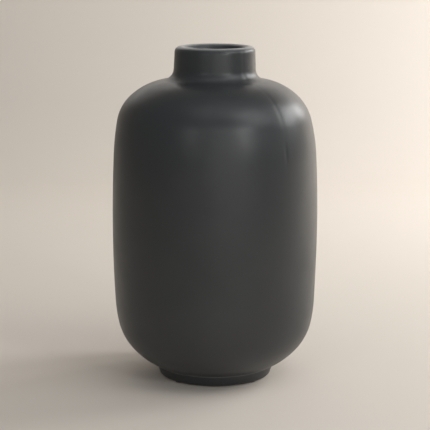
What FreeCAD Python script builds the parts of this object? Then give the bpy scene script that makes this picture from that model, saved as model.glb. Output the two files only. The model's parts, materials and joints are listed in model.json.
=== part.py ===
"""A free-standing ceramic bottle vase: a slip-cast stoneware shell, its glazes and its foot pads.

Millimetres, +Z up. The origin is on the surface that the vase stands on, under its centre.
Every outline lies in the XZ plane as tangent arcs and lines, and is turned around the Z axis.
"""
import FreeCAD, Part
import math
import os

# Overall
height = 254.0                # from the table to the top of the lip
belly_radius = 78.4           # the widest place
belly_height = 122.1
wall = 7.0                    # barrel, glazes included
glaze = 0.4                   # each coat

# Each arc of the outside is (radius, angle): the angle that the surface has turned to by the
# arc's end, 0 facing outwards and 90 facing up. A negative radius is a hollow arc.
shoulder_end_angle = 81.5
neck_draft = 2.3
shoulder_arcs = ((965.0, 3.0), (167.0, 12.0), (34.0, 45.0), (46.3, shoulder_end_angle))
heel_arcs = ((1203.0, -3.0), (104.4, -12.0), (43.8, -45.0), (63.4, -63.4))
neck_fillet = 8.9

# Mouth
bore_radius = 22.1            # the glazed opening

# Foot
pad_thickness = 1.0
foot_taper = 20.0             # the foot's side leans in by this many degrees
crease_radius = 0.6           # the edge where the barrel ends above the foot
step_fillet = 0.6
foot_edge_radius = 1.2
wiped_angle = -45.0           # the glaze is wiped off below this place on the foot's edge

# Underside
recess_radius = 32.2
recess_edge_radius = 1.0
recess_corner_radius = 1.5
recess_ceiling = 6.0
floor_corner_radius = 20.0    # inside, where the wall meets the floor

# Pads
pad_count = 4
pad_radius = 4.0
pad_edge_radius = 0.25
pad_circle_radius = 37.4
first_pad_angle = 45.0


def facing(angle):
    """The unit vector in the XZ plane at this angle above the horizontal."""
    return FreeCAD.Vector(math.cos(math.radians(angle)), 0, math.sin(math.radians(angle)))


class Outline:
    """A run of arcs and lines, drawn from a point where the surface faces a known angle."""

    def __init__(self, point, angle):
        self.point = point
        self.angle = angle
        self.edges = []

    def arc(self, radius, angle):
        """Turn the surface to an angle, on an arc that bulges out, or is hollow if negative."""
        centre = self.point - facing(self.angle) * radius
        middle = centre + facing((self.angle + angle) / 2) * radius
        end = centre + facing(angle) * radius
        self.edges.append(Part.Arc(self.point, middle, end).toShape())
        self.point = end
        self.angle = angle

    def line(self, end):
        """Go straight to a point."""
        self.edges.append(Part.LineSegment(self.point, end).toShape())
        self.point = end


def at(radius, z):
    return FreeCAD.Vector(radius, 0, z)


def from_belly(depth, arcs):
    """The outline from the widest place along some arcs, a depth under the finished surface."""
    outline = Outline(at(belly_radius - depth, belly_height), 0.0)
    for radius, angle in arcs:
        outline.arc(radius - depth, angle)
    return outline


def lip():
    """The full round of the lip, which touches the neck's side, the bore and the top."""
    neck = from_belly(0, shoulder_arcs)
    neck.arc(-neck_fillet, neck_draft)
    side = facing(neck_draft)
    radius = side.dot(neck.point - at(bore_radius, height)) / (1 + side.x - side.z)
    return radius, at(bore_radius + radius, height - radius)


def outer_upper(depth):
    """From the widest place up over the lip to the top of the bore."""
    outline = from_belly(depth, shoulder_arcs)
    outline.arc(-neck_fillet - depth, neck_draft)
    lip_radius, lip_centre = lip()
    outline.line(lip_centre + facing(neck_draft) * (lip_radius - depth))
    outline.arc(lip_radius - depth, 180.0)
    return outline


def outer_lower(depth):
    """From the widest place down past the crease to where the foot's edge is wiped."""
    outline = from_belly(depth, heel_arcs)
    outline.arc(crease_radius - depth, -90.0)
    outline.arc(-step_fillet - depth, -foot_taper)
    side = facing(-foot_taper)
    edge_centre_z = pad_thickness + foot_edge_radius
    edge_start_z = edge_centre_z + side.z * (foot_edge_radius - depth)
    down = (edge_start_z - outline.point.z) / side.x
    outline.line(outline.point + at(-side.z * down, side.x * down))
    outline.arc(foot_edge_radius - depth, wiped_angle)
    return outline


def inner_upper(depth):
    """Inside, from the widest place up through the throat to the top of the bore."""
    finished = from_belly(wall, shoulder_arcs).point
    throat_radius = (finished.x - bore_radius) / (1 - facing(shoulder_end_angle).x)
    outline = from_belly(depth, shoulder_arcs)
    outline.arc(wall - throat_radius - depth, 0.0)
    outline.line(at(outline.point.x, lip()[1].z))
    return outline


def inner_lower(depth):
    """Inside, from the widest place down to the middle of the floor."""
    outline = from_belly(depth, heel_arcs)
    outline.arc(floor_corner_radius + wall - depth, -90.0)
    outline.line(at(0, outline.point.z))
    return outline


def underside(start):
    """From the wiped edge across the foot ring and the recess to the axis."""
    outline = Outline(start, wiped_angle)
    drop = start.z - pad_thickness
    outline.line(start - at(drop / math.tan(math.radians(-wiped_angle)), drop))
    outline.line(at(recess_radius + recess_edge_radius, pad_thickness))
    outline.angle = -90.0
    outline.arc(recess_edge_radius, -180.0)
    outline.line(at(recess_radius, recess_ceiling - recess_corner_radius))
    outline.arc(-recess_corner_radius, -90.0)
    outline.line(at(0, recess_ceiling))
    return outline


def turned(edges):
    """The solid that a closed outline makes around the Z axis."""
    face = Part.Face(Part.Wire(Part.__sortEdges__(edges)))
    shape = face.revolve(FreeCAD.Vector(0, 0, 0), FreeCAD.Vector(0, 0, 1), 360)
    return shape if shape.isValid() and shape.Volume > 0 else shape.reversed()


def joined(start, end):
    return Part.LineSegment(start, end).toShape()


def clay_body():
    """The whole shell, cast in one piece: neck, shoulder, barrel, floor and foot ring."""
    outer = [outer_upper(glaze), outer_lower(glaze)]
    inner = [inner_upper(wall - glaze), inner_lower(wall - glaze)]
    bottom = underside(outer[1].point)
    edges = [edge for outline in outer + inner + [bottom] for edge in outline.edges]
    edges.append(joined(inner[1].point, bottom.point))
    return turned(edges)


def outer_glaze():
    """The coat over the outside, from the wiped foot up over the lip."""
    outside = [outer_upper(0), outer_lower(0)]
    clay_side = [outer_upper(glaze), outer_lower(glaze)]
    edges = [edge for outline in outside + clay_side for edge in outline.edges]
    for finished, backing in zip(outside, clay_side):
        edges.append(joined(finished.point, backing.point))
    return turned(edges)


def liner_glaze():
    """The coat over the inside, from the top of the bore down to the floor."""
    inside = [inner_upper(wall), inner_lower(wall)]
    clay_side = [inner_upper(wall - glaze), inner_lower(wall - glaze)]
    edges = [edge for outline in inside + clay_side for edge in outline.edges]
    for finished, backing in zip(inside, clay_side):
        edges.append(joined(finished.point, backing.point))
    return turned(edges)


def recess_glaze():
    """The round of glaze left under the floor, inside the foot ring."""
    bottom = at(0, recess_ceiling - glaze)
    disc = Part.makeCylinder(recess_radius - recess_corner_radius, glaze, bottom)
    rim = [edge for edge in disc.Edges if edge.Curve.TypeId == "Part::GeomCircle"]
    lower_rim = min(rim, key=lambda edge: edge.CenterOfMass.z)
    return disc.makeFillet(glaze / 2, [lower_rim])


def foot_pad(angle):
    """A soft disc stuck under the foot ring, with a slightly rounded lower edge."""
    place = facing(0) * pad_circle_radius
    pad = Part.makeCylinder(pad_radius, pad_thickness, place)
    rim = [edge for edge in pad.Edges if edge.Curve.TypeId == "Part::GeomCircle"]
    lower_rim = min(rim, key=lambda edge: edge.CenterOfMass.z)
    pad = pad.makeFillet(pad_edge_radius, [lower_rim])
    pad.rotate(FreeCAD.Vector(0, 0, 0), FreeCAD.Vector(0, 0, 1), angle)
    return pad


def main():
    nodes = {"clay_body": clay_body(), "outer_glaze": outer_glaze(),
             "liner_glaze": liner_glaze(), "recess_glaze": recess_glaze()}
    for number in range(pad_count):
        angle = first_pad_angle + 360 / pad_count * number
        nodes["foot_pad_%d" % (number + 1)] = foot_pad(angle)
    os.makedirs("parts", exist_ok=True)
    for name, shape in nodes.items():
        shape.exportStep("parts/%s.step" % name)
        box = shape.BoundBox
        print("%-13s valid %s  volume %10.1f mm3  radius %6.2f  z %7.2f to %7.2f" % (
            name, shape.isValid(), shape.Volume, box.XMax, box.ZMin, box.ZMax))


main()
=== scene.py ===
"""The looks of the bottle vase: its clay, its three glazes and its foot pads, in the CAD model's frame.

Every coat is a closed mesh turned from the same tangent arcs as the CAD solids, with what a real
casting adds: a fettled mould seam, a shoulder that sank a little in the kiln, a wiped foot.
Lengths are millimetres until a mesh is made, and metres after that.
"""
import bmesh
import bpy
import json
import math
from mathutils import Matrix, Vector, noise


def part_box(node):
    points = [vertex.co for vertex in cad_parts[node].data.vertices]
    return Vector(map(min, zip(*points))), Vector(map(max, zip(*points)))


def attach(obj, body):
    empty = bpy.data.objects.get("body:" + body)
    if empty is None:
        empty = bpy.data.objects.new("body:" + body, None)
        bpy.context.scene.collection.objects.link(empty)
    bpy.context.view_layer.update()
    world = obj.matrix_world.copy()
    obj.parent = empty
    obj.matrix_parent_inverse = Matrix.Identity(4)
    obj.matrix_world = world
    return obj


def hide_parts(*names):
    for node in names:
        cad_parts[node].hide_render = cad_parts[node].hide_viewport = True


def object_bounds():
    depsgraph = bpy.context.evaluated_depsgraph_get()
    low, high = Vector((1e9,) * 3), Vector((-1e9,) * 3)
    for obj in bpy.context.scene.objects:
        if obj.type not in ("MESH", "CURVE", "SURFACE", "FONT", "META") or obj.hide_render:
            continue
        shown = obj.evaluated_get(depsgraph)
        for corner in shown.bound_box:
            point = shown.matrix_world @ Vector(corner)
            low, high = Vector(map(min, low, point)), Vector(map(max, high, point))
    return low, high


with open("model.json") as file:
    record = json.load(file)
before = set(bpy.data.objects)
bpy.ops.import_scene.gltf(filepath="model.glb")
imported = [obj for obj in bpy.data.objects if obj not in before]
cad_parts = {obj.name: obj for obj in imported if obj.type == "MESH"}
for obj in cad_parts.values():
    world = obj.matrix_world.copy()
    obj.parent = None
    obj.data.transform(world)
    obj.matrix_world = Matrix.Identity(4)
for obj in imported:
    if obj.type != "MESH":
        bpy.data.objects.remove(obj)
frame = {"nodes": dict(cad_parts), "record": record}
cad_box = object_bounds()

MM = 0.001

# ---------------------------------------------------------------- sizes, from the frame

def node_box(node):
    """The corners of a CAD node's box, in millimetres."""
    low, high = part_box(node)
    return [value / MM for value in low], [value / MM for value in high]


mounts = {mount["name"]: mount for mount in frame["record"]["mounts"]}
height = cad_box[1][2] / MM
belly_radius = node_box("outer_glaze")[1][0]
bore_radius = mounts["mouth"]["dims"]["r_mm"]
ring_bottom = node_box("clay_body")[0][2]
recess_bottom, recess_ceiling = (corner[2] for corner in node_box("recess_glaze"))
recess_glaze_radius = node_box("recess_glaze")[1][0]
PAD_NODES = sorted(node for node in frame["nodes"] if node.startswith("foot_pad_"))

# ---------------------------------------------------------------- the outline, as in the CAD

BELLY_HEIGHT = 122.1
WALL = 7.0
GLAZE = 0.4
SHOULDER_END = 81.5
NECK_DRAFT = 2.3
SHOULDER_ARCS = ((965.0, 3.0), (167.0, 12.0), (34.0, 45.0), (46.3, SHOULDER_END))
HEEL_ARCS = ((1203.0, -3.0), (104.4, -12.0), (43.8, -45.0), (63.4, -63.4))
NECK_FILLET = 8.9
FOOT_TAPER = 20.0
CREASE_RADIUS = 0.6
STEP_FILLET = 0.6
FOOT_EDGE_RADIUS = 1.2
WIPED_ANGLE = -45.0
RECESS_RADIUS = 32.2
RECESS_EDGE_RADIUS = 1.0
RECESS_CORNER_RADIUS = 1.5
FLOOR_CORNER_RADIUS = 20.0

ARC_STEP = 2.5                # degrees between two points of an arc
FINE_ARC_STEP = 7             # on arcs of about a millimetre, and on the lip
CORNER_ARC_STEP = 15          # on small arcs that are hidden under the foot
STEP_FILLET_STEP = 14
LONGEST_STEP = 2.6            # never more than this between two points of an outline
SAME_POINT = 1e-4             # points closer than this are one point
ON_AXIS = 1e-6                # a point with less radius than this is on the axis


def facing(angle):
    """The unit vector (outwards, up) at this angle above the horizontal."""
    return Vector((math.cos(math.radians(angle)), math.sin(math.radians(angle))))


class Outline:
    """Points along a run of tangent arcs and lines, in (radius, z)."""

    def __init__(self, radius, z, angle):
        self.points = [Vector((radius, z))]
        self.angle = angle

    @property
    def end(self):
        return self.points[-1]

    def arc(self, radius, angle, step=ARC_STEP):
        """Turn the surface to an angle; a negative radius makes a hollow arc."""
        centre = self.end - facing(self.angle) * radius
        turn = angle - self.angle
        length = abs(math.radians(turn) * radius)
        count = max(2, math.ceil(abs(turn) / step), math.ceil(length / LONGEST_STEP))
        for number in range(1, count + 1):
            self.points.append(centre + facing(self.angle + turn * number / count) * radius)
        self.angle = angle

    def line(self, radius, z):
        """Go straight to a point."""
        start = self.end
        run = Vector((radius, z)) - start
        count = max(1, math.ceil(run.length / LONGEST_STEP))
        for number in range(1, count + 1):
            self.points.append(start + run * number / count)


def from_belly(depth, arcs):
    """From the widest place along some arcs, a depth under the finished surface."""
    outline = Outline(belly_radius - depth, BELLY_HEIGHT, 0.0)
    for radius, angle in arcs:
        outline.arc(radius - depth, angle)
    return outline


def lip():
    """(radius, centre) of the lip's full round, which touches the neck, the bore and the top."""
    neck = from_belly(0, SHOULDER_ARCS)
    neck.arc(-NECK_FILLET, NECK_DRAFT)
    side = facing(NECK_DRAFT)
    radius = side.dot(neck.end - Vector((bore_radius, height))) / (1 + side.x - side.y)
    return radius, Vector((bore_radius + radius, height - radius))


LIP_RADIUS, LIP_CENTRE = lip()


def outer_upper(depth):
    """From the widest place up over the lip to the top of the bore."""
    outline = from_belly(depth, SHOULDER_ARCS)
    outline.arc(-NECK_FILLET - depth, NECK_DRAFT)
    outline.line(*(LIP_CENTRE + facing(NECK_DRAFT) * (LIP_RADIUS - depth)))
    outline.arc(LIP_RADIUS - depth, 180.0, step=FINE_ARC_STEP)
    return outline


def outer_lower(depth):
    """From the widest place down past the crease to where the foot's edge is wiped."""
    outline = from_belly(depth, HEEL_ARCS)
    outline.arc(CREASE_RADIUS - depth, -90.0, step=FINE_ARC_STEP)
    outline.arc(-STEP_FILLET - depth, -FOOT_TAPER, step=STEP_FILLET_STEP)
    side = facing(-FOOT_TAPER)
    edge_centre_z = ring_bottom + FOOT_EDGE_RADIUS
    edge_start_z = edge_centre_z + side.y * (FOOT_EDGE_RADIUS - depth)
    down = (edge_start_z - outline.end.y) / side.x
    outline.line(outline.end.x - side.y * down, edge_start_z)
    outline.arc(FOOT_EDGE_RADIUS - depth, WIPED_ANGLE, step=FINE_ARC_STEP)
    return outline


def inner_upper(depth):
    """Inside, from the widest place up through the throat to the top of the bore."""
    finished = from_belly(WALL, SHOULDER_ARCS).end
    throat_radius = (finished.x - bore_radius) / (1 - facing(SHOULDER_END).x)
    outline = from_belly(depth, SHOULDER_ARCS)
    outline.arc(WALL - throat_radius - depth, 0.0)
    outline.line(outline.end.x, LIP_CENTRE.y)
    return outline


def inner_lower(depth):
    """Inside, from the widest place down to the middle of the floor."""
    outline = from_belly(depth, HEEL_ARCS)
    outline.arc(FLOOR_CORNER_RADIUS + WALL - depth, -90.0)
    outline.line(0, outline.end.y)
    return outline


def underside(start):
    """From the wiped edge across the foot ring and the recess to the axis."""
    outline = Outline(start.x, start.y, WIPED_ANGLE)
    drop = start.y - ring_bottom
    outline.line(start.x - drop / math.tan(math.radians(-WIPED_ANGLE)), ring_bottom)
    outline.line(RECESS_RADIUS + RECESS_EDGE_RADIUS, ring_bottom)
    outline.angle = -90.0
    outline.arc(RECESS_EDGE_RADIUS, -180.0, step=CORNER_ARC_STEP)
    outline.line(RECESS_RADIUS, recess_ceiling - RECESS_CORNER_RADIUS)
    outline.arc(-RECESS_CORNER_RADIUS, -90.0, step=CORNER_ARC_STEP)
    outline.line(0, recess_ceiling)
    return outline


def through(*runs):
    """One list of points through several runs, each a list, without the points that they share."""
    points = []
    for run in runs:
        for point in run:
            if not points or (point - points[-1]).length > SAME_POINT:
                points.append(point)
    return points


# ---------------------------------------------------------------- what the kiln and the mould add

SEAM_AZIMUTHS = (-47.0, 133.0)      # degrees from +X; the mould's two halves meet here
SEAM_WIDTH = 1.3                    # half of the width that the fettling knife left
SEAM_DEPTH = 0.12
SEAM_SPONGED_Z = 196.0              # below this the seam was sponged nearly flat
SEAM_SHOWN_Z = 212.0                # above this it has its full depth
SEAM_LEFT = 0.06                    # the share of its depth that the sponge left
# Knife marks on the seams: (azimuth, z, half its height, half its width, depth)
KNIFE_MARKS = (
    (-47.3, 180.5, 3.8, 1.1, 0.26),
    (-44.0, 231.6, 1.6, 1.1, 0.16),
    (133.4, 231.0, 1.4, 1.1, 0.15),
)
# The body leans along X by this much around a height, and fades over its reach
SHOULDER_SHIFT = -0.8
SHOULDER_SHIFT_Z = 212.0
SHOULDER_SHIFT_REACH = 22.0
HEEL_SHIFT = -0.22
HEEL_SHIFT_Z = 78.0
HEEL_SHIFT_REACH = 32.0
WAVINESS = 0.06                     # how far the fired surface rises and falls
WAVE_LENGTH = 42.0


def angle_between(first, second):
    """From the second angle to the first, between -180 and 180 degrees."""
    return (first - second + 180.0) % 360.0 - 180.0


def hill(distance, half_width):
    """1 in the middle, fading smoothly to 0."""
    return math.exp(-0.5 * (distance / half_width) ** 2)


def seam(radius, z, azimuth):
    """How far the surface lies below the turned shape, by the seams and the knife marks."""
    shown = min(1.0, max(0.0, (z - SEAM_SPONGED_Z) / (SEAM_SHOWN_Z - SEAM_SPONGED_Z)))
    strength = SEAM_LEFT + (1 - SEAM_LEFT) * shown
    depth = 0.0
    for seam_azimuth in SEAM_AZIMUTHS:
        across = math.radians(angle_between(azimuth, seam_azimuth)) * radius
        depth += SEAM_DEPTH * strength * hill(across, SEAM_WIDTH)
    for mark_azimuth, mark_z, half_height, half_width, mark_depth in KNIFE_MARKS:
        across = math.radians(angle_between(azimuth, mark_azimuth)) * radius
        depth += mark_depth * hill(across, half_width) * hill(z - mark_z, half_height)
    return depth


def sideways(z):
    """How far the body leans along X at a height."""
    shoulder = SHOULDER_SHIFT * math.exp(-((z - SHOULDER_SHIFT_Z) / SHOULDER_SHIFT_REACH) ** 2)
    heel = HEEL_SHIFT * math.exp(-((z - HEEL_SHIFT_Z) / HEEL_SHIFT_REACH) ** 2)
    return shoulder + heel


def direction(azimuth, elevation=0.0):
    """The unit vector at an azimuth from +X and an elevation."""
    flat = math.cos(math.radians(elevation))
    return Vector((flat * math.cos(math.radians(azimuth)), flat * math.sin(math.radians(azimuth)),
                   math.sin(math.radians(elevation))))


def fired(radius, z, azimuth, seamed=True):
    """A point of the turned shape, in metres, where it is after casting and firing."""
    outwards = direction(azimuth)
    at = outwards * radius + Vector((0, 0, z))
    from_axis = min(1.0, radius / belly_radius * 2)     # the unevenness fades towards the axis
    swell = noise.noise(at / WAVE_LENGTH) * WAVINESS * from_axis
    if seamed:
        swell -= seam(radius, z, azimuth)
    at += outwards * swell
    at.x += sideways(z)
    return at * MM


def fired_unseamed(radius, z, azimuth):
    """The same, where the mould's seams don't reach."""
    return fired(radius, z, azimuth, seamed=False)


# ---------------------------------------------------------------- turning

SHARP_ANGLE = 40.0            # an edge that turns by more than this is shaded as an edge
COARSE_TURN = 2.0             # degrees from one column of points to the next
FINE_TURN = 0.4               # the same beside a seam
FINE_REACH = 3.2              # how many degrees from a seam the columns are fine
PAD_SIDES = 48
ROUNDING = 1e-6


def azimuths():
    """Directions around the axis, closer together across the two seams."""
    turn = []
    azimuth = SEAM_AZIMUTHS[0]
    while azimuth < SEAM_AZIMUTHS[0] + 360 - ROUNDING:
        turn.append(azimuth)
        to_seams = [angle_between(seam_azimuth, azimuth) for seam_azimuth in SEAM_AZIMUTHS]
        near = min(abs(angle) for angle in to_seams)
        ahead = min(angle % 360 for angle in to_seams)
        if near < FINE_REACH - ROUNDING or ahead < FINE_REACH + ROUNDING:
            azimuth += FINE_TURN
        else:
            azimuth += min(COARSE_TURN, max(FINE_TURN, ahead - FINE_REACH))
    return turn


TURN = azimuths()
PAD_TURN = [number * 360 / PAD_SIDES for number in range(PAD_SIDES)]


def turned(name, points, place=fired, turn=TURN):
    """A closed mesh: points turned around the axis. It closes on itself, or on the axis."""
    poles = points[0].x < ON_AXIS
    rows = points[1:-1] if poles else points
    vertices = [place(point.x, point.y, azimuth) for azimuth in turn for point in rows]
    count = len(rows)
    faces = []
    for column in range(len(turn)):
        here = column * count
        there = (column + 1) % len(turn) * count
        for row in range(count - 1 if poles else count):
            above = (row + 1) % count
            faces.append((here + row, there + row, there + above, here + above))
    if poles:
        for point, row in ((points[0], 0), (points[-1], count - 1)):
            pole = len(vertices)
            vertices.append(place(0, point.y, 0))
            for column in range(len(turn)):
                here = column * count + row
                there = (column + 1) % len(turn) * count + row
                faces.append((pole, there, here) if row == 0 else (pole, here, there))
    mesh = bpy.data.meshes.new(name)
    mesh.from_pydata(vertices, [], faces)
    mesh.update()
    piece = bpy.data.objects.new(name, mesh)
    bpy.context.scene.collection.objects.link(piece)
    tidy_normals(piece)
    return piece


def tidy_normals(piece):
    """Turn every face outwards, and shade smoothly except across a real edge."""
    work = bmesh.new()
    work.from_mesh(piece.data)
    bmesh.ops.recalc_face_normals(work, faces=work.faces)
    for face in work.faces:
        face.smooth = True
    for edge in work.edges:
        edge.smooth = edge.calc_face_angle(0) < math.radians(SHARP_ANGLE)
    work.to_mesh(piece.data)
    work.free()
    piece.data.update()


# ---------------------------------------------------------------- materials

# The colour sockets of a Mix node, whose names it shares between its kinds
MIX_FIRST, MIX_SECOND, MIX_RESULT = 6, 7, 2


class Nodes:
    """A short way to write a material's nodes."""

    def __init__(self, name):
        self.material = bpy.data.materials.new(name)
        self.material.use_nodes = True
        self.tree = self.material.node_tree
        self.shader = self.tree.nodes["Principled BSDF"]
        self.place = self.add("ShaderNodeTexCoord").outputs["Object"]

    def add(self, kind, **settings):
        node = self.tree.nodes.new(kind)
        for name, value in settings.items():
            setattr(node, name, value)
        return node

    def link(self, source, target):
        self.tree.links.new(source, target)

    def grain(self, scale, detail=2.0, roughness=0.5):
        """Noise with features about 1 / scale metres across."""
        node = self.add("ShaderNodeTexNoise")
        self.link(self.place, node.inputs["Vector"])
        node.inputs["Scale"].default_value = scale
        node.inputs["Detail"].default_value = detail
        node.inputs["Roughness"].default_value = roughness
        return node.outputs["Fac"]

    def level(self):
        """The height above the table, in metres."""
        node = self.add("ShaderNodeSeparateXYZ")
        self.link(self.place, node.inputs[0])
        return node.outputs["Z"]

    def weighted_sum(self, first, second, weight):
        """first + second * weight"""
        node = self.add("ShaderNodeMath", operation="MULTIPLY_ADD")
        self.link(second, node.inputs[0])
        node.inputs[1].default_value = weight
        self.link(first, node.inputs[2])
        return node.outputs[0]

    def band(self, value, low, high, fade):
        """1 between two values and 0 outside them, with a fade at each end."""
        rise = self.spread(value, low - fade, low, 0, 1)
        fall = self.spread(value, high, high + fade, 1, 0)
        node = self.add("ShaderNodeMath", operation="MULTIPLY")
        self.link(rise, node.inputs[0])
        self.link(fall, node.inputs[1])
        return node.outputs[0]

    def spread(self, value, low, high, to_low, to_high):
        """A value between two limits, mapped to two others and held there outside them."""
        node = self.add("ShaderNodeMapRange")
        self.link(value, node.inputs["Value"])
        node.inputs["From Min"].default_value = low
        node.inputs["From Max"].default_value = high
        node.inputs["To Min"].default_value = to_low
        node.inputs["To Max"].default_value = to_high
        return node.outputs["Result"]

    def between(self, value, first, second):
        """A colour between two, by value."""
        node = self.add("ShaderNodeMix", data_type="RGBA")
        self.link(value, node.inputs["Factor"])
        for socket, colour in ((MIX_FIRST, first), (MIX_SECOND, second)):
            if isinstance(colour, tuple):
                node.inputs[socket].default_value = (*colour, 1)
            else:
                self.link(colour, node.inputs[socket])
        return node.outputs[MIX_RESULT]

    def bump(self, value, distance, below=None):
        """Relief by value, up to a distance in metres, on top of the bump below it."""
        node = self.add("ShaderNodeBump")
        node.inputs["Distance"].default_value = distance
        node.inputs["Strength"].default_value = 1.0
        self.link(value, node.inputs["Height"])
        if below is not None:
            self.link(below, node.inputs["Normal"])
        return node.outputs["Normal"]

    def finish(self, colour, roughness, normal):
        """Link the shader's inputs and return the material."""
        self.link(colour, self.shader.inputs["Base Color"])
        self.link(roughness, self.shader.inputs["Roughness"])
        self.link(normal, self.shader.inputs["Normal"])
        return self.material


GLAZE_IOR = 1.5
GLAZE_DARK = (0.0260, 0.0290, 0.0315)
GLAZE_PALE = (0.0315, 0.0345, 0.0370)
GLAZE_SPECK = (0.052, 0.053, 0.054)
GLAZE_BREAK_AND_HIGHLIGHT = (0.110, 0.114, 0.116)      # paler where it breaks over the crease above the foot, and a painted highlight along that crease
GLAZE_THIN_AND_HIGHLIGHT = (0.230, 0.236, 0.238)        # paler where it runs thin off the crest of the lip, and a painted highlight along that crest
LINER_DARK = (0.036, 0.036, 0.037)
LINER_PALE = (0.046, 0.046, 0.047)
CLAY_DARK = (0.20, 0.175, 0.155)
CLAY_PALE = (0.27, 0.24, 0.215)
CLAY_GROG = (0.09, 0.08, 0.072)
FELT_DARK = (0.025, 0.025, 0.026)
FELT_PALE = (0.075, 0.074, 0.073)
FLOOR_DARK = (0.72, 0.66, 0.59)
FLOOR_PALE = (0.74, 0.68, 0.61)

# Where the glaze is thin and a highlight is painted on it, in metres
PALE_BAND_WANDER = 0.0004                     # how far the edges of a thin, painted-highlight band wander up and down
CREASE_BOTTOM, CREASE_TOP = 0.0088, 0.0101
CREASE_FADE = 0.0004
CREST_START, CREST_FULL = 0.0013, 0.0003  # below the top of the lip


def charcoal_glaze():
    """Satin-matte charcoal: a little clouded, thinner and paler where it breaks over an edge, with
    painted highlights along the crease above the foot and the lip's crest.
    """
    nodes = Nodes("charcoal_glaze_look")
    clouds = nodes.spread(nodes.grain(26, 3), 0.3, 0.7, 0, 1)
    speck = nodes.spread(nodes.grain(2600, 1), 0.66, 0.74, 0, 1)
    colour = nodes.between(clouds, GLAZE_DARK, GLAZE_PALE)
    colour = nodes.between(speck, colour, GLAZE_SPECK)
    level = nodes.weighted_sum(nodes.level(), nodes.grain(150), PALE_BAND_WANDER)
    # painted highlight: a thin pale band along the crease above the foot, where the glaze also breaks
    crease_break_and_highlight = nodes.band(level, CREASE_BOTTOM, CREASE_TOP, CREASE_FADE)
    # painted highlight: a pale band on the crest of the lip, where the glaze also runs thin
    crest_thin_and_highlight = nodes.spread(level, height * MM - CREST_START, height * MM - CREST_FULL, 0, 1)
    # paint the crease's broken glaze and its highlight into the colour
    colour = nodes.between(crease_break_and_highlight, colour, GLAZE_BREAK_AND_HIGHLIGHT)
    # paint the crest's thin glaze and its highlight into the colour
    colour = nodes.between(crest_thin_and_highlight, colour, GLAZE_THIN_AND_HIGHLIGHT)
    roughness = nodes.spread(nodes.grain(60, 3), 0.3, 0.7, 0.34, 0.40)
    normal = nodes.bump(nodes.grain(420, 2), 0.00002)
    normal = nodes.bump(nodes.grain(2200, 2), 0.000005, normal)
    nodes.shader.inputs["IOR"].default_value = GLAZE_IOR
    return nodes.finish(colour, roughness, normal)


def liner_glaze():
    """Nearly the same colour inside, with more gloss."""
    nodes = Nodes("liner_glaze_look")
    clouds = nodes.spread(nodes.grain(30, 3), 0.3, 0.7, 0, 1)
    colour = nodes.between(clouds, LINER_DARK, LINER_PALE)
    roughness = nodes.spread(nodes.grain(80, 2), 0.3, 0.7, 0.22, 0.30)
    normal = nodes.bump(nodes.grain(300, 2), 0.00004)
    nodes.shader.inputs["IOR"].default_value = GLAZE_IOR
    return nodes.finish(colour, roughness, normal)


def bare_clay():
    """Fired stoneware that the glaze was wiped from."""
    nodes = Nodes("bare_clay_look")
    clouds = nodes.spread(nodes.grain(90, 4), 0.3, 0.7, 0, 1)
    grog = nodes.spread(nodes.grain(1800, 2), 0.58, 0.66, 0, 1)
    colour = nodes.between(clouds, CLAY_DARK, CLAY_PALE)
    colour = nodes.between(grog, colour, CLAY_GROG)
    roughness = nodes.spread(nodes.grain(700, 2), 0.3, 0.7, 0.82, 0.95)
    normal = nodes.bump(nodes.grain(1500, 4, 0.6), 0.00008)
    return nodes.finish(colour, roughness, normal)


def pressed_felt():
    """Dark grey felt, matted from short fibres."""
    nodes = Nodes("pressed_felt_look")
    fibres = nodes.grain(3800, 5, 0.7)
    colour = nodes.between(nodes.spread(fibres, 0.35, 0.65, 0, 1), FELT_DARK, FELT_PALE)
    roughness = nodes.spread(nodes.grain(900, 2), 0.3, 0.7, 0.88, 1.0)
    normal = nodes.bump(fibres, 0.00015)
    nodes.shader.inputs["Sheen Weight"].default_value = 0.35
    nodes.shader.inputs["Sheen Roughness"].default_value = 0.5
    return nodes.finish(colour, roughness, normal)


# ---------------------------------------------------------------- the pieces

RECESS_GLAZE_EDGE = 0.2
PAD_EDGE = 0.25
PAD_EDGE_STEP = 18
FELT_LUMP = 1.1               # the size of the felt's lumps
FELT_MATTING = 0.12           # how far they rise and fall
FELT_INSET = 0.1              # keeps them within the CAD pad
FELT_SINK = 0.5               # the share of a lump that shows on the face


def finish_piece(piece, node, material):
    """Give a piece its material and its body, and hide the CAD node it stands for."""
    piece.data.materials.append(material)
    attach(piece, "root")
    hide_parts(node)


def make_outer_coat(material):
    """The glaze over the outside, from the wiped foot up over the lip."""
    outside = (outer_lower(0).points[::-1], outer_upper(0).points)
    backing = (outer_upper(GLAZE).points[::-1], outer_lower(GLAZE).points)
    piece = turned("outer_coat", through(*outside, *backing))
    finish_piece(piece, "outer_glaze", material)


def make_liner_coat(material):
    """The glaze over the inside, from the top of the bore down to the floor."""
    inside = (inner_lower(WALL).points[::-1], inner_upper(WALL).points)
    backing = (inner_upper(WALL - GLAZE).points[::-1], inner_lower(WALL - GLAZE).points)
    piece = turned("liner_coat", through(*inside, *backing))
    finish_piece(piece, "liner_glaze", material)


def make_clay(material):
    """The whole cast shell, under its glazes."""
    lower = outer_lower(GLAZE).points
    bottom = underside(lower[-1]).points
    upper = outer_upper(GLAZE).points
    inner_top = inner_upper(WALL - GLAZE).points
    inner_bottom = inner_lower(WALL - GLAZE).points
    outline = through(bottom[::-1], lower[::-1], upper, inner_top[::-1], inner_bottom)
    piece = turned("clay_shell", outline)
    finish_piece(piece, "clay_body", material)


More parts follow.
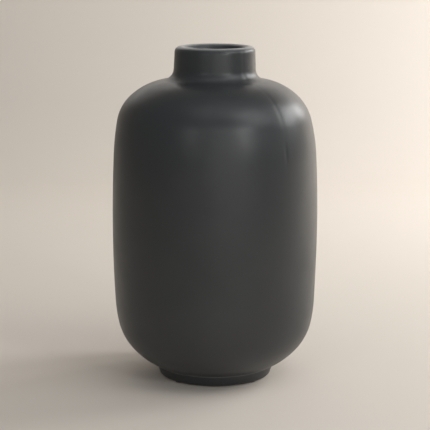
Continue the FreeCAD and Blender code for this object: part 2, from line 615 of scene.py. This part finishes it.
def make_recess_coat(material):
    """The round of glaze under the floor, inside the foot ring."""
    outline = Outline(0, recess_bottom, -90.0)
    outline.line(recess_glaze_radius - RECESS_GLAZE_EDGE, recess_bottom)
    outline.arc(RECESS_GLAZE_EDGE, 0.0, step=CORNER_ARC_STEP)
    outline.line(recess_glaze_radius, recess_ceiling)
    outline.line(0, recess_ceiling)
    piece = turned("recess_coat", outline.points, fired_unseamed)
    finish_piece(piece, "recess_glaze", material)


def make_pad(node, material):
    """A felt dot: a soft disc with a rolled lower edge and a slightly matted face."""
    low, high = node_box(node)
    centre = Vector(((low[0] + high[0]) / 2, (low[1] + high[1]) / 2, 0))
    pad_radius = (high[0] - low[0]) / 2
    outline = Outline(0, low[2], -90.0)
    outline.line(pad_radius - PAD_EDGE, low[2])
    outline.arc(PAD_EDGE, 0.0, step=PAD_EDGE_STEP)
    outline.line(pad_radius, high[2])
    outline.line(0, high[2])

    def matted(radius, z, azimuth):
        """A point of the pad's outline, in metres, on its lumpy felt."""
        outwards = direction(azimuth)
        at = centre + outwards * radius + Vector((0, 0, z))
        lump = noise.noise(at / FELT_LUMP) * FELT_MATTING
        if z < high[2] - ROUNDING:
            at += outwards * (lump - FELT_INSET) * (radius / pad_radius)
            at.z += max(0.0, lump) * FELT_SINK
        return at * MM

    piece = turned(node + "_felt", outline.points, matted, PAD_TURN)
    finish_piece(piece, node, material)


# ---------------------------------------------------------------- floor, light and camera

FLOOR_NEAR = -2.2             # metres along Y
FLOOR_FAR = 0.85              # far enough for a view of the vase from every side
FLOOR_HALF_WIDTH = 3.2
SWEEP_RADIUS = 0.5
SWEEP_STEPS = 24
BACKDROP_TOP = 3.0


def make_stage():
    """A pale floor that sweeps up into a backdrop."""
    outline = [(FLOOR_NEAR, 0.0), (FLOOR_FAR, 0.0)]
    for number in range(1, SWEEP_STEPS + 1):
        turn = math.radians(90 * number / SWEEP_STEPS)
        outline.append((FLOOR_FAR + SWEEP_RADIUS * math.sin(turn),
                        SWEEP_RADIUS * (1 - math.cos(turn))))
    outline.append((FLOOR_FAR + SWEEP_RADIUS, BACKDROP_TOP))
    vertices = [(x, y, z) for x in (-FLOOR_HALF_WIDTH, FLOOR_HALF_WIDTH) for y, z in outline]
    count = len(outline)
    faces = [(row, count + row, count + row + 1, row + 1) for row in range(count - 1)]
    mesh = bpy.data.meshes.new("floor_sweep")
    mesh.from_pydata(vertices, [], faces)
    for face in mesh.polygons:
        face.use_smooth = True
    floor = bpy.data.objects.new("floor_sweep", mesh)
    bpy.context.scene.collection.objects.link(floor)
    nodes = Nodes("floor_look")
    colour = nodes.between(nodes.grain(3), FLOOR_DARK, FLOOR_PALE)
    roughness = nodes.spread(nodes.grain(40), 0, 1, 0.75, 0.85)
    normal = nodes.bump(nodes.grain(900), 0.00002)
    mesh.materials.append(nodes.finish(colour, roughness, normal))


MIDDLE = Vector((0, 0, height * MM / 2))
RIGHT_BACKDROP = Vector((0.95, 1.15, 0.15))
BACKDROP = Vector((0.3, 1.33, 0.4))
# A light's name, its azimuth, elevation and distance from its aim, (width, height), watts, aim
LIGHTS = (
    ("window", -63, 40, 1.0, (0.7, 0.7), 20.0, RIGHT_BACKDROP),
    ("key_softbox", -33, 45, 0.9, (0.5, 0.5), 1.6, MIDDLE),
    ("front_fill", -76, 12, 1.8, (1.3, 1.2), 4.4, MIDDLE),
    ("overhead", -75, 67, 1.35, (1.2, 0.9), 2.1, MIDDLE),
    ("right_strip", -54, 19, 1.4, (0.11, 0.2), 2.2, MIDDLE),
    ("left_strip", -116, 18, 1.4, (0.1, 0.16), 0.7, MIDDLE),
    ("rim_softbox", 41, 22, 1.3, (0.25, 0.35), 2.6, MIDDLE),
    ("back_panel", 90, 30, 0.95, (1.2, 0.45), 0.9, MIDDLE),
    ("wall_wash", -36, 12, 1.9, (0.8, 0.8), 1.2, BACKDROP),
)
ROOM_LIGHT = 0.22             # from all round, without a direction


def make_light(name, azimuth, elevation, distance, size, power, aim):
    """A soft rectangular light that faces its aim."""
    data = bpy.data.lights.new(name, "AREA")
    data.shape = "RECTANGLE"
    data.size, data.size_y = size
    data.energy = power
    light = bpy.data.objects.new(name, data)
    light.location = aim + direction(azimuth, elevation) * distance
    light.rotation_euler = (aim - light.location).to_track_quat("-Z", "Y").to_euler()
    bpy.context.scene.collection.objects.link(light)


def make_lights():
    """A lit backdrop, soft lights and narrow strips on the vase, and a dim even room."""
    for light in LIGHTS:
        make_light(*light)
    world = bpy.data.worlds.new("soft_room")
    bpy.context.scene.world = world
    world.use_nodes = True
    background = world.node_tree.nodes["Background"]
    background.inputs["Color"].default_value = (1.0, 1.0, 1.0, 1)
    background.inputs["Strength"].default_value = ROOM_LIGHT


CAMERA_DISTANCE = 4.548       # in heights of the vase
CAMERA_HEIGHT = 1.360         # in the same
CAMERA_PITCH = 10.82          # degrees below the level
LENS = 128.2                  # millimetres
SENSOR = 36.0


def make_camera():
    """The camera, placed in heights of the vase."""
    tall = height * MM
    data = bpy.data.cameras.new("camera")
    data.sensor_width = SENSOR
    data.lens = LENS
    camera = bpy.data.objects.new("camera", data)
    camera.location = (0, -CAMERA_DISTANCE * tall, CAMERA_HEIGHT * tall)
    camera.rotation_euler = (math.radians(90 - CAMERA_PITCH), 0, 0)
    bpy.context.scene.collection.objects.link(camera)
    bpy.context.scene.camera = camera


def main():
    charcoal = charcoal_glaze()
    make_outer_coat(charcoal)
    make_liner_coat(liner_glaze())
    make_clay(bare_clay())
    make_recess_coat(charcoal)
    felt = pressed_felt()
    for node in PAD_NODES:
        make_pad(node, felt)
    make_stage()
    make_lights()
    make_camera()
    bpy.context.scene.view_settings.view_transform = "Standard"


main()
